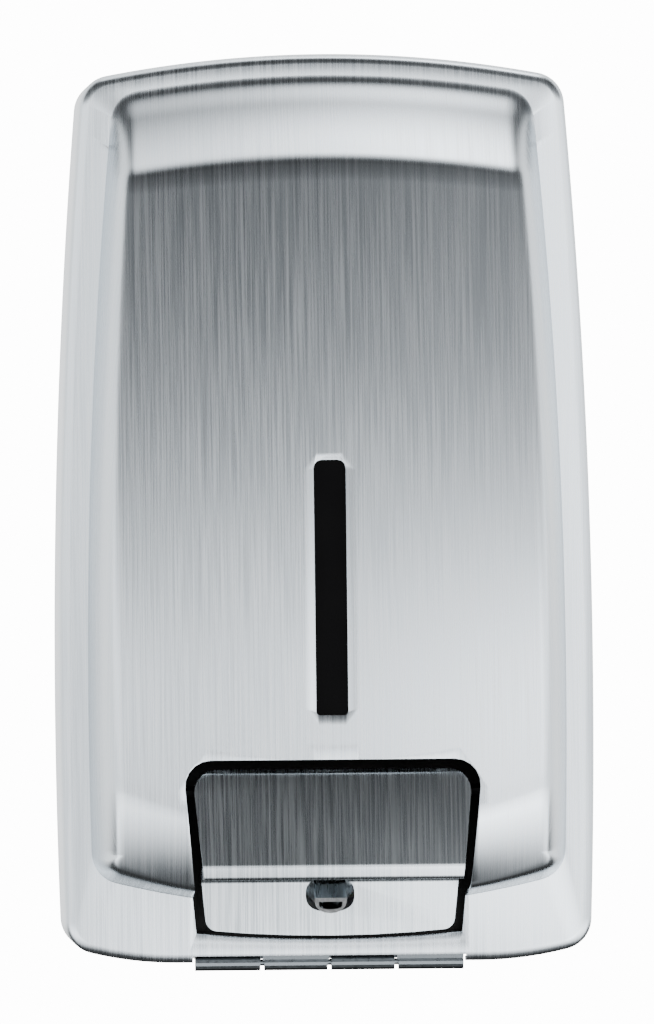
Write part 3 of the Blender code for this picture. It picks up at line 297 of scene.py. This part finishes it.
def prism(outline, sweep):
    """A flat outline (3-D points in order) swept along a vector."""
    shape = bmesh.new()
    face = shape.faces.new([shape.verts.new(p) for p in outline])
    swept = bmesh.ops.extrude_face_region(shape, geom=[face])["geom"]
    moved = [v for v in swept if isinstance(v, bmesh.types.BMVert)]
    bmesh.ops.translate(shape, verts=moved, vec=sweep)
    bmesh.ops.recalc_face_normals(shape, faces=shape.faces)
    return shape


def box(x_range, depth_range, height_range):
    """A block between two values of x, of depth and of height."""
    shape = bmesh.new()
    middle = at(sum(x_range) / 2, sum(depth_range) / 2, sum(height_range) / 2)
    sides = [abs(r[1] - r[0]) for r in (x_range, depth_range, height_range)]
    matrix = Matrix.Translation(middle) @ Matrix.Diagonal((*sides, 1.0))
    bmesh.ops.create_cube(shape, size=1.0, matrix=matrix)
    return shape


def turned(profile, start, direction, sides):
    """A (distance, radius) profile spun round an axis; a radius of zero closes an end."""
    along = direction.normalized()
    across = along.orthogonal().normalized()
    shape = bmesh.new()
    points = [shape.verts.new(start + along * s + across * r) for s, r in profile]
    for first, second in zip(points, points[1:] + points[:1]):
        shape.edges.new((first, second))
    bmesh.ops.spin(shape, geom=shape.verts[:] + shape.edges[:], cent=start, axis=along,
                   angle=2 * math.pi, steps=sides, use_merge=True)
    bmesh.ops.remove_doubles(shape, verts=shape.verts, dist=1e-7)
    bmesh.ops.dissolve_degenerate(shape, edges=shape.edges, dist=1e-7)
    bmesh.ops.recalc_face_normals(shape, faces=shape.faces)
    return shape


def rod(start, end, radius, sides):
    length = (end - start).length
    return turned([(0, 0), (0, radius), (length, radius), (length, 0)], start, end - start, sides)


def front_prism(outline, depth_range):
    near, far = depth_range
    return prism([at(x, near, z) for x, z in outline], at(0, far - near, 0))


def side_prism(outline, x_range):
    """A (depth, height) outline swept across from one x to another."""
    left, right = x_range
    return prism([at(left, d, z) for d, z in outline], Vector((right - left, 0, 0)))


def cutout_outline(margin=0.0):
    """The handle cut-out in the cover, as (x, height) pairs, grown by a margin."""
    top = CUTOUT_TOP + margin
    foot = CUTOUT_FOOT - margin
    corners = [(-CUTOUT_TOP_HALF - margin, top), (CUTOUT_TOP_HALF + margin, top)]
    radii = [CUTOUT_CORNER, CUTOUT_CORNER]
    half = CUTOUT_FOOT_HALF + margin
    for share in np.linspace(1, -1, 7):
        corners.append((half * share, foot - CUTOUT_FOOT_SAG * (1 - share * share)))
        radii.append(0)
    return rounded(corners, radii)


def window_outline(margin=0.0):
    half = WINDOW_WIDTH / 2 + margin
    corners = [(-half, WINDOW_TOP + margin), (half, WINDOW_TOP + margin),
               (half, WINDOW_FOOT - margin), (-half, WINDOW_FOOT - margin)]
    return rounded(corners, [0.002, 0.002, 0.001, 0.001], 3)


def select_only(piece):
    bpy.ops.object.select_all(action="DESELECT")
    piece.select_set(True)
    bpy.context.view_layer.objects.active = piece


def piece_of(name, shape):
    """A new object at the origin from a finished shape."""
    mesh = bpy.data.meshes.new(name)
    shape.to_mesh(mesh)
    shape.free()
    made = bpy.data.objects.new(name, mesh)
    bpy.context.scene.collection.objects.link(made)
    return made


def boolean(target, shape, operation="DIFFERENCE"):
    tool = piece_of("cutter", shape)
    modifier = target.modifiers.new(operation.lower(), "BOOLEAN")
    modifier.object = tool
    modifier.operation = operation
    modifier.solver = "EXACT"
    select_only(target)
    bpy.ops.object.modifier_apply(modifier=modifier.name)
    bpy.data.objects.remove(tool)


def apply_bevel(piece, width, segments, degrees):
    """Rounds every edge that turns more sharply than an angle."""
    bevel = piece.modifiers.new("edge round", "BEVEL")
    bevel.width = width
    bevel.segments = segments
    bevel.limit_method = "ANGLE"
    bevel.angle_limit = math.radians(degrees)
    bevel.miter_outer = "MITER_ARC"
    select_only(piece)
    bpy.ops.object.modifier_apply(modifier=bevel.name)


def smooth(piece, degrees):
    """Smooth shading over every edge that turns less than an angle."""
    select_only(piece)
    bpy.ops.object.shade_smooth_by_angle(angle=math.radians(degrees))
    bpy.ops.object.select_all(action="DESELECT")


def linear(hex_colour):
    """An sRGB hex colour as the linear RGBA that a shader takes."""
    channels = [int(hex_colour[i:i + 2], 16) / 255 for i in (0, 2, 4)]
    bent = [c / 12.92 if c <= 0.04045 else ((c + 0.055) / 1.055) ** 2.4 for c in channels]
    return (*bent, 1.0)


def add_node(tree, kind, links=(), **settings):
    """A node with its settings; links are (input, node, output) by name or number."""
    made = tree.nodes.new(kind)
    for key, value in settings.items():
        if hasattr(made, key):
            setattr(made, key, value)
        else:
            made.inputs[key.replace("_", " ")].default_value = value
    for socket, source, output in links:
        tree.links.new(source.outputs[output], made.inputs[socket])
    return made


def finish(name, hex_colour, metallic, roughness, **more):
    """A material with its shader's even values set."""
    made = bpy.data.materials.new(name)
    made.use_nodes = True
    shader = made.node_tree.nodes["Principled BSDF"]
    shader.inputs["Base Color"].default_value = linear(hex_colour)
    shader.inputs["Metallic"].default_value = metallic
    shader.inputs["Roughness"].default_value = roughness
    for key, value in more.items():
        shader.inputs[key.replace("_", " ")].default_value = value
    return made


def vary(made, detail, roughness, relief_mm, per_metre=1.0, scratches=None, side_scratches=None,
         tones=None):
    """Noise on Object coordinates that shifts the roughness a little and raises a fine relief.

    per_metre is how many grains fit in a metre, 1000 over their size in mm. A brushed face has
    such a count along each axis instead, in scratches, and side_scratches holds the counts for
    walls that face sideways, whose scratches lie across y. The tones tint the scratches.
    """
    tree = made.node_tree
    shader = tree.nodes["Principled BSDF"]
    place = add_node(tree, "ShaderNodeTexCoord")
    mapping = add_node(tree, "ShaderNodeMapping", [("Vector", place, "Object")],
                       Scale=scratches or (1, 1, 1))
    noise = add_node(tree, "ShaderNodeTexNoise", [("Vector", mapping, 0)],
                     Scale=per_metre, Detail=detail)
    if side_scratches:
        beside = add_node(tree, "ShaderNodeMapping", [("Vector", place, "Object")],
                          Scale=side_scratches)
        other = add_node(tree, "ShaderNodeTexNoise", [("Vector", beside, 0)],
                         Scale=per_metre, Detail=detail)
        surface = add_node(tree, "ShaderNodeNewGeometry")
        facing = add_node(tree, "ShaderNodeSeparateXYZ", [(0, surface, "True Normal")])
        size = add_node(tree, "ShaderNodeMath", [(0, facing, 0)], operation="ABSOLUTE")
        step = add_node(tree, "ShaderNodeMapRange", [("Value", size, 0)],
                        From_Min=0.6, From_Max=0.8)
        noise = add_node(tree, "ShaderNodeMix", [(0, step, 0), (2, noise, 0), (3, other, 0)])
    spread = add_node(tree, "ShaderNodeMapRange", [("Value", noise, 0)], From_Min=0.3,
                      From_Max=0.7, To_Min=roughness[0], To_Max=roughness[1])
    tree.links.new(spread.outputs[0], shader.inputs["Roughness"])
    if tones:
        tint = add_node(tree, "ShaderNodeValToRGB", [("Fac", noise, 0)])
        for stop, share, tone in zip(tint.color_ramp.elements, (0.36, 0.64), tones):
            stop.position = share
            stop.color = linear(tone)
        tree.links.new(tint.outputs[0], shader.inputs["Base Color"])
    if scratches:
        tangent = add_node(tree, "ShaderNodeTangent", direction_type="RADIAL", axis="Z")
        tree.links.new(tangent.outputs[0], shader.inputs["Tangent"])
    relief = add_node(tree, "ShaderNodeBump", [("Height", noise, 0)],
                      Strength=1.0, Distance=relief_mm / 1000)
    tree.links.new(relief.outputs[0], shader.inputs["Normal"])


def paint(piece, made):
    """Gives one material to a piece."""
    piece.data.materials.clear()
    piece.data.materials.append(made)


ROLL_STEPS = 16
insets = [BELLY_EDGE_ROLL * k / ROLL_STEPS for k in range(ROLL_STEPS - 1, -1, -1)]
shape = cover_surface(columns=49, band_rows=14, face_rows=40, foot_rows=14, insets=insets,
                      corner_steps=10)
bmesh.ops.recalc_face_normals(shape, faces=shape.faces)
cover = piece_of("cover_pressing", shape)
sheet = cover.modifiers.new("sheet", "SOLIDIFY")
sheet.thickness = COVER_SHEET
sheet.offset = -1
sheet.use_even_offset = True
select_only(cover)
bpy.ops.object.modifier_apply(modifier=sheet.name)

# The punched openings. A cutter runs well past the sheet on both sides.
PAST = 0.01
FOOT_LIP_BACK = 0.0045  # the foot's flange ends this far behind the hinge's knuckles
FOOT_LIP_HEIGHT = 0.007
belly_cut = (FLANGE_DEPTH - 2 * PAST, LIP_DEPTH + 2 * PAST)
boolean(cover, front_prism(window_outline(), belly_cut))
boolean(cover, front_prism(cutout_outline(), belly_cut))
lip_half = SHELF_HALF + 0.007
lip_depth = HINGE_DEPTH - KNUCKLE_RADIUS - FOOT_LIP_BACK
boolean(cover, box((-lip_half, lip_half), (-PAST, lip_depth),
                   (COVER_FOOT - PAST, COVER_FOOT + FOOT_LIP_HEIGHT)))
notch_half = HINGE_HALF + SWING_GAP / 2
notch_top = HINGE_HEIGHT + KNUCKLE_RADIUS - SEAT_GAP
boolean(cover, box((-notch_half, notch_half), (0.04, FLANGE_DEPTH + PAST),
                   (COVER_FOOT - PAST, notch_top)))
boolean(cover, rod(at(0, LOCK_DEPTH, COVER_TOP - PAST), at(0, LOCK_DEPTH, COVER_TOP + PAST),
                   LOCK_RADIUS + SEAT_GAP, sides=48))
apply_bevel(cover, width=0.0003, segments=2, degrees=60)
smooth(cover, degrees=32)

# Type 304 stainless steel, vertically brushed with 180 grit belts. The fine upright scratches spread
# a reflection sideways and leave it sharp up and down. A scratch is about 0.15 mm wide; it is drawn
# 0.4 mm wide, as coarse as it needs to be to show.
brushed = finish("brushed_stainless_304", "C0C7CC", 1.0, 0.26, Anisotropic=0.65)
vary(brushed, 4.0, (0.21, 0.31), 0.004, scratches=(2500, 40, 30), side_scratches=(40, 2500, 30),
     tones=("B9C1C7", "C7CED3"))
paint(cover, brushed)
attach(cover, "cover")
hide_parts("front_cover")


# The push handle
# A 1.8 mm stainless pressing: a tilted pad that a thumb or palm pushes, a round lip along its foot,
# and a flat chin behind it with the hole for the spout. Two ears hang it from a pin in the channel.

HANDLE_GAP = 0.0024
HANDLE_WALL = 0.0018
PAD_FOOT = -0.0905
PAD_TOP_DEPTH = FLANGE_DEPTH + 0.0313
CHIN_DEPTH = FLANGE_DEPTH + 0.006
HANDLE_PIVOT_DEPTH = FLANGE_DEPTH + 0.020
HANDLE_PIVOT_HEIGHT = -0.0705
HANDLE_PIN_RADIUS = 0.0015
PIN_GAP = 0.00025  # radial, round a pin or a shaft
HOLE_HALF_WIDTH = 0.0061
HOLE_HALF_HEIGHT = 0.0043
HOLE_SQUARENESS = 2.6
HOLE_HEIGHT = -0.0965


def handle_front(depths):
    """Front outline of the handle as a prism: the cut-out's shape less the gap round it."""
    gap = HANDLE_GAP
    top = CUTOUT_TOP - gap
    corner = CUTOUT_CORNER - 0.001
    corners = [(-CUTOUT_TOP_HALF + gap, top), (CUTOUT_TOP_HALF - gap, top)]
    radii = [corner, corner]
    half = CUTOUT_FOOT_HALF - gap
    foot = CUTOUT_FOOT + 0.0009
    for share in np.linspace(1, -1, 7):
        corners.append((half * share, foot - CUTOUT_FOOT_SAG * (1 - share * share)))
        radii.append(0.003 if abs(share) == 1 else 0)
    return front_prism(rounded(corners, radii), depths)


# The bent sheet from the side, as (depth, height): its front skin down, then its back up.
wall = HANDLE_WALL
top = CUTOUT_TOP
foot = CUTOUT_FOOT - 0.004
pad_back = PAD_TOP_DEPTH - 0.007  # how far the pad's top edge turns back
lip_height = PAD_FOOT + 0.0015
shelf_height = PAD_FOOT - 0.0022  # under the lip, where the sheet runs back to the chin
skin = [(pad_back, top), (PAD_TOP_DEPTH, top - HANDLE_GAP), (LIP_DEPTH, lip_height),
        (LIP_DEPTH - 0.0008, PAD_FOOT - 0.0018), (CHIN_DEPTH + 0.0015, shelf_height),
        (CHIN_DEPTH, foot)]
back = [(CHIN_DEPTH - wall, foot), (CHIN_DEPTH - wall, shelf_height + wall),
        (LIP_DEPTH - wall * 2, lip_height), (PAD_TOP_DEPTH - wall, top - HANDLE_GAP - wall),
        (pad_back, top - HANDLE_GAP - wall)]
bends = [0, 0.0026, 0.0026, 0.0012, 0.0012, 0, 0, 0.001, 0.001, 0.001, 0]
reach = CUTOUT_TOP_HALF + PAST
handle = piece_of("handle_pressing", side_prism(rounded(skin + back, bends, 10), (-reach, reach)))
boolean(handle, handle_front((CHIN_DEPTH - 3 * PAST, LIP_DEPTH + PAST)), "INTERSECT")
apply_bevel(handle, width=0.00085, segments=4, degrees=60)

# The two side plates, each with an ear round the pin.
EAR_HALF = 0.0042
EAR_ROUND = 0.004
SIDE_INSET = 0.0004  # the plates stand this far inside the handle's foot
ear_depth = HANDLE_PIVOT_DEPTH - EAR_HALF
side_plate = [(ear_depth, HANDLE_PIVOT_HEIGHT + EAR_HALF),
              (PAD_TOP_DEPTH - wall / 2, top - HANDLE_GAP - wall / 2),
              (LIP_DEPTH - wall * 1.5, lip_height), (LIP_DEPTH - 0.006, PAD_FOOT - 0.0006),
              (CHIN_DEPTH - wall / 2, PAD_FOOT - 0.0008),
              (ear_depth, HANDLE_PIVOT_HEIGHT - EAR_HALF)]
outer = CUTOUT_FOOT_HALF - HANDLE_GAP - SIDE_INSET
for sign in (-1, 1):
    plate = rounded(side_plate, [EAR_ROUND, 0, 0, 0, 0, EAR_ROUND], 8)
    boolean(handle, side_prism(plate, (sign * (outer - wall), sign * outer)), "UNION")

# The spout's oval hole in the chin, then the pin's hole across both ears.
power = 2 / HOLE_SQUARENESS
oval = []
for angle in np.linspace(0, -2 * math.pi, 49)[:-1]:
    across, up = math.cos(angle), math.sin(angle)
    x = HOLE_HALF_WIDTH * math.copysign(abs(across) ** power, across)
    oval.append((x, HOLE_HEIGHT + HOLE_HALF_HEIGHT * math.copysign(abs(up) ** power, up)))
boolean(handle, front_prism(oval, (CHIN_DEPTH - PAST, CHIN_DEPTH + PAST)))
pin = at(0, HANDLE_PIVOT_DEPTH, HANDLE_PIVOT_HEIGHT)
half = Vector((reach, 0, 0))
boolean(handle, rod(pin - half, pin + half, HANDLE_PIN_RADIUS + PIN_GAP, sides=24))
smooth(handle, degrees=35)

# Type 304 stainless steel again, brushed like the cover but a little duller where hands rub it.
rubbed = finish("brushed_stainless_handle", "ACB3B8", 1.0, 0.28, Anisotropic=0.6)
vary(rubbed, 4.0, (0.22, 0.34), 0.008, scratches=(2500, 60, 40), tones=("A1A9AE", "BCC3C7"))
paint(handle, rubbed)
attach(handle, "handle")
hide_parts("push_handle")


# The window
# A strip of dark smoked acrylic behind the slot shows the soap's level. A black moulded frame
# clamps it to the inside of the cover.

# Cast acrylic, smoked and polished: a deep black with a clear, faintly wavy shine, a wave being
# about 17 mm long.
smoked = finish("smoked_acrylic_polished", "060607", 0.0, 0.08, IOR=1.49, Specular_IOR_Level=0.08)
vary(smoked, 2.0, (0.06, 0.11), 0.002, per_metre=60.0)
paint(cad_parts["window_strip"], smoked)

# Injection moulded black ABS: a fine spark-eroded grain of about 0.3 mm that dulls its shine.
black_abs = finish("black_abs_moulded", "0C0C0D", 0.0, 0.45, IOR=1.53, Specular_IOR_Level=0.2)
vary(black_abs, 1.0, (0.4, 0.52), 0.01, per_metre=3000.0)
for name in ("window_frame", "handle_surround", "lock_housing"):
    paint(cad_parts[name], black_abs)


# Fixings
# The wall plate, bracket, hinge, keeper, clips, rivets, studs, nuts and pins are plain 304 stainless
# or zinc plated steel, rolled or drawn and not brushed.

# Rolled stainless sheet: an even grey with soft clouds about 4 mm wide from the rolls.
rolled = finish("rolled_stainless_sheet", "B4B7BA", 1.0, 0.34)
vary(rolled, 3.0, (0.3, 0.4), 0.01, per_metre=250.0)
fixings = ["wall_plate", "hinge_bracket", "latch_keeper", "lid_pin", "valve_ball", "lock_nut",
           "lock_cam", "cam_screw"]
for kind in ("tank_clip", "leaf_rivet", "bracket_rivet", "surround_stud", "surround_nut"):
    fixings += [f"{kind}_left", f"{kind}_right"]
for name in fixings:
    paint(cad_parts[name], rolled)

# Unbrushed hinge strip, left dull and dark grey from annealing, mottled about every 1 mm.
annealed = finish("annealed_hinge_strip", "6C7276", 1.0, 0.3)
vary(annealed, 3.0, (0.26, 0.38), 0.01, per_metre=900.0)
for name in ("hinge_leaf_fixed", "hinge_leaf_moving", "hinge_pin"):
    paint(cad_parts[name], annealed)

# The handle's pin is coloured almost black as painted shade, so it reads as the shadow in the gaps
# beside the handle: matt, in 1 mm spots.
pin_shade_black = finish("pin_painted_shade_black", "2A2A2B", 1.0, 0.5)
vary(pin_shade_black, 2.0, (0.45, 0.6), 0.004, per_metre=900.0)
paint(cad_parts["handle_pin"], pin_shade_black)

# Hard drawn stainless spring wire: drawing leaves it smoother and a little darker than sheet,
# with marks about 0.25 mm apart.
drawn = finish("drawn_spring_wire", "A3A6A9", 1.0, 0.25)
vary(drawn, 2.0, (0.2, 0.3), 0.004, per_metre=4000.0)
paint(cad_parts["return_spring"], drawn)


# The tank and its lid
# Blow moulded in natural polyethylene, and held to the plate by two clips. The lid hangs on a
# wire pin, and a rubber ring in the mouth seals it.

# Natural polyethylene is milky and soft to the light, with a slow waviness of 5 to 6 mm.

milky = finish("natural_polyethylene", "DFE1DD", 0.0, 0.42, IOR=1.51,
               Subsurface_Weight=0.2, Subsurface_Scale=0.004)
vary(milky, 2.0, (0.38, 0.48), 0.05, per_metre=180.0)
for name in ("tank", "tank_lid"):
    paint(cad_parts[name], milky)

# Nitrile rubber, compression moulded: matt, nearly black, with a faint bloom in 1 mm patches.
nitrile = finish("nitrile_rubber", "1B1B1C", 0.0, 0.8, IOR=1.52)
vary(nitrile, 2.0, (0.74, 0.88), 0.02, per_metre=900.0)
for name in ("lid_seal", "pump_gasket", "piston_seal"):
    paint(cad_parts[name], nitrile)


# The pump
# Acetal mouldings make the body through the tank's front, its nut and its two caps. A steel
# plunger slides in the body and carries the spout.

# Moulded acetal is white, dense and slightly waxy, with a faint flow mark every 1.5 mm or so.

acetal = finish("white_acetal_moulded", "E8E8E2", 0.0, 0.3, IOR=1.48)
vary(acetal, 2.0, (0.26, 0.36), 0.01, per_metre=700.0)
for name in ("pump_body", "pump_nut", "gland_cap", "inlet_cap"):
    paint(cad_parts[name], acetal)

# The plunger is turned 303 stainless, polished where it shows as the spout. Polishing leaves it
# nearly a mirror, with soft swells about 1 mm across.
polished = finish("polished_stainless_303", "D9DCDE", 1.0, 0.14)
vary(polished, 2.0, (0.1, 0.2), 0.004, per_metre=900.0)
paint(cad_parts["plunger"], polished)


# The lock
# A brass plug turns in the black housing at the cover's top and carries a steel cam below, which
# a screw holds on. A nut under the cover's top holds the housing.

# Free machining brass, turned: its tool marks are about 0.1 mm apart, too fine to show, so they
# are drawn as a 0.4 mm grain.
brass = finish("turned_brass", "D2B36C", 1.0, 0.28)
vary(brass, 2.0, (0.24, 0.34), 0.006, per_metre=2500.0)
paint(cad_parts["lock_cylinder"], brass)


# The room
# A pale floor well below the dispenser, a soft studio all round it, and a camera straight in front.

FLOOR_HEIGHT = -0.42
bpy.ops.mesh.primitive_plane_add(size=2.4, location=(0, -0.2, FLOOR_HEIGHT))
floor = bpy.context.active_object
floor.name = "studio_floor"
floor.visible_glossy = False
# Matt floor paint, rolled: off-white, uneven over about 25 mm.
pale = finish("pale_floor_paint", "E9E9E6", 0.0, 0.7)
vary(pale, 2.0, (0.65, 0.75), 0.1, per_metre=40.0)
floor.data.materials.append(pale)
bpy.ops.object.select_all(action="DESELECT")

# What the steel mirrors in front of it, as (degrees, level). By height it runs from a dark floor
# over a bright room at level to a dark band and a bright ceiling. Across, from left to right, a
# soft light stands just right of the middle.
HEIGHT_LEVELS = [(-90, 0.08), (-74, 0.10), (-68, 0.12), (-58, 0.35), (-50, 0.8), (-38, 1.6),
                 (-22, 2.6), (-8, 1.9), (0, 1.0), (5, 2.4), (8, 1.6), (10, 1.0), (13, 0.5),
                 (16, 0.28), (20, 0.17), (26, 0.11), (40, 0.05), (58, 0.07), (67, 0.5),
                 (78, 2.2), (90, 4.0)]
ACROSS_LEVELS = [(-90, 1.7), (-15, 1.8), (-5, 0.7), (2, 0.72), (11, 4.0), (24, 2.4), (90, 1.8)]
world = bpy.data.worlds.new("studio")
bpy.context.scene.world = world
world.use_nodes = True
tree = world.node_tree
direction = add_node(tree, "ShaderNodeTexCoord")
split = add_node(tree, "ShaderNodeSeparateXYZ", [("Vector", direction, "Generated")])
made = {}
for axis, levels, blue in (("Z", HEIGHT_LEVELS, 1.01), ("X", ACROSS_LEVELS, 1.0)):
    share = add_node(tree, "ShaderNodeMapRange", [("Value", split, axis)],
                     From_Min=-1.0, From_Max=1.0)
    ramp = add_node(tree, "ShaderNodeValToRGB", [("Fac", share, 0)])
    stops = ramp.color_ramp.elements
    for i, (degrees, level) in enumerate(levels):
        place = (math.sin(math.radians(degrees)) + 1) / 2
        stop = stops[i] if i < 2 else stops.new(place)
        stop.position = place
        stop.color = (level, level, level * blue, 1)
    made[axis] = (share, ramp)
rise, heights = made["Z"]
front = add_node(tree, "ShaderNodeMix", [(6, heights, 0), (7, made["X"][1], 0)],
                 data_type="RGBA", blend_type="MULTIPLY")
front.inputs[0].default_value = 1.0

# The pale wall behind and the dark below it, which only surfaces that turn well away from the
# front mirror.
behind = add_node(tree, "ShaderNodeMapRange", [("Value", split, "Y")],
                  From_Min=0.0, From_Max=0.25)
back = add_node(tree, "ShaderNodeValToRGB", [("Fac", rise, 0)])
for stop, place, level in zip(back.color_ramp.elements, (0.34, 0.48), (0.06, 2.3)):
    stop.position = place
    stop.color = (level, level, level, 1)
around = add_node(tree, "ShaderNodeMix", [(0, behind, 0), (6, front, 2), (7, back, 0)],
                  data_type="RGBA")

# The camera itself sees a plain white backdrop.
BACKDROP_STRENGTH = 14.0
room = tree.nodes["Background"]
room.inputs["Strength"].default_value = 1.0
tree.links.new(around.outputs[2], room.inputs["Color"])
seen = add_node(tree, "ShaderNodeBackground", Strength=BACKDROP_STRENGTH, Color=(1, 1, 1, 1))
ray = add_node(tree, "ShaderNodeLightPath")
mixed = add_node(tree, "ShaderNodeMixShader",
                 [(0, ray, "Is Camera Ray"), (1, room, 0), (2, seen, 0)])
tree.links.new(mixed.outputs[0], tree.nodes["World Output"].inputs["Surface"])

CAMERA_DISTANCE = 5.0
CAMERA_TURN = math.radians(-2.0)
CAMERA_ROLL = math.radians(0.5)
VIEW_HEIGHT = 0.256  # metres, from the view's top to its foot at the cover's front
VIEW_MIDDLE = (0.0002, -0.07, -0.001)
SENSOR_HEIGHT = 36.0
place = (VIEW_MIDDLE[0] + CAMERA_DISTANCE * math.sin(CAMERA_TURN),
         VIEW_MIDDLE[1] - CAMERA_DISTANCE, VIEW_MIDDLE[2])
bpy.ops.object.camera_add(location=place, rotation=(math.radians(90), CAMERA_ROLL, CAMERA_TURN))
camera = bpy.context.active_object
camera.name = "studio_camera"
camera.data.sensor_fit = "VERTICAL"
camera.data.sensor_height = SENSOR_HEIGHT
camera.data.lens = SENSOR_HEIGHT * CAMERA_DISTANCE / VIEW_HEIGHT
bpy.context.scene.camera = camera
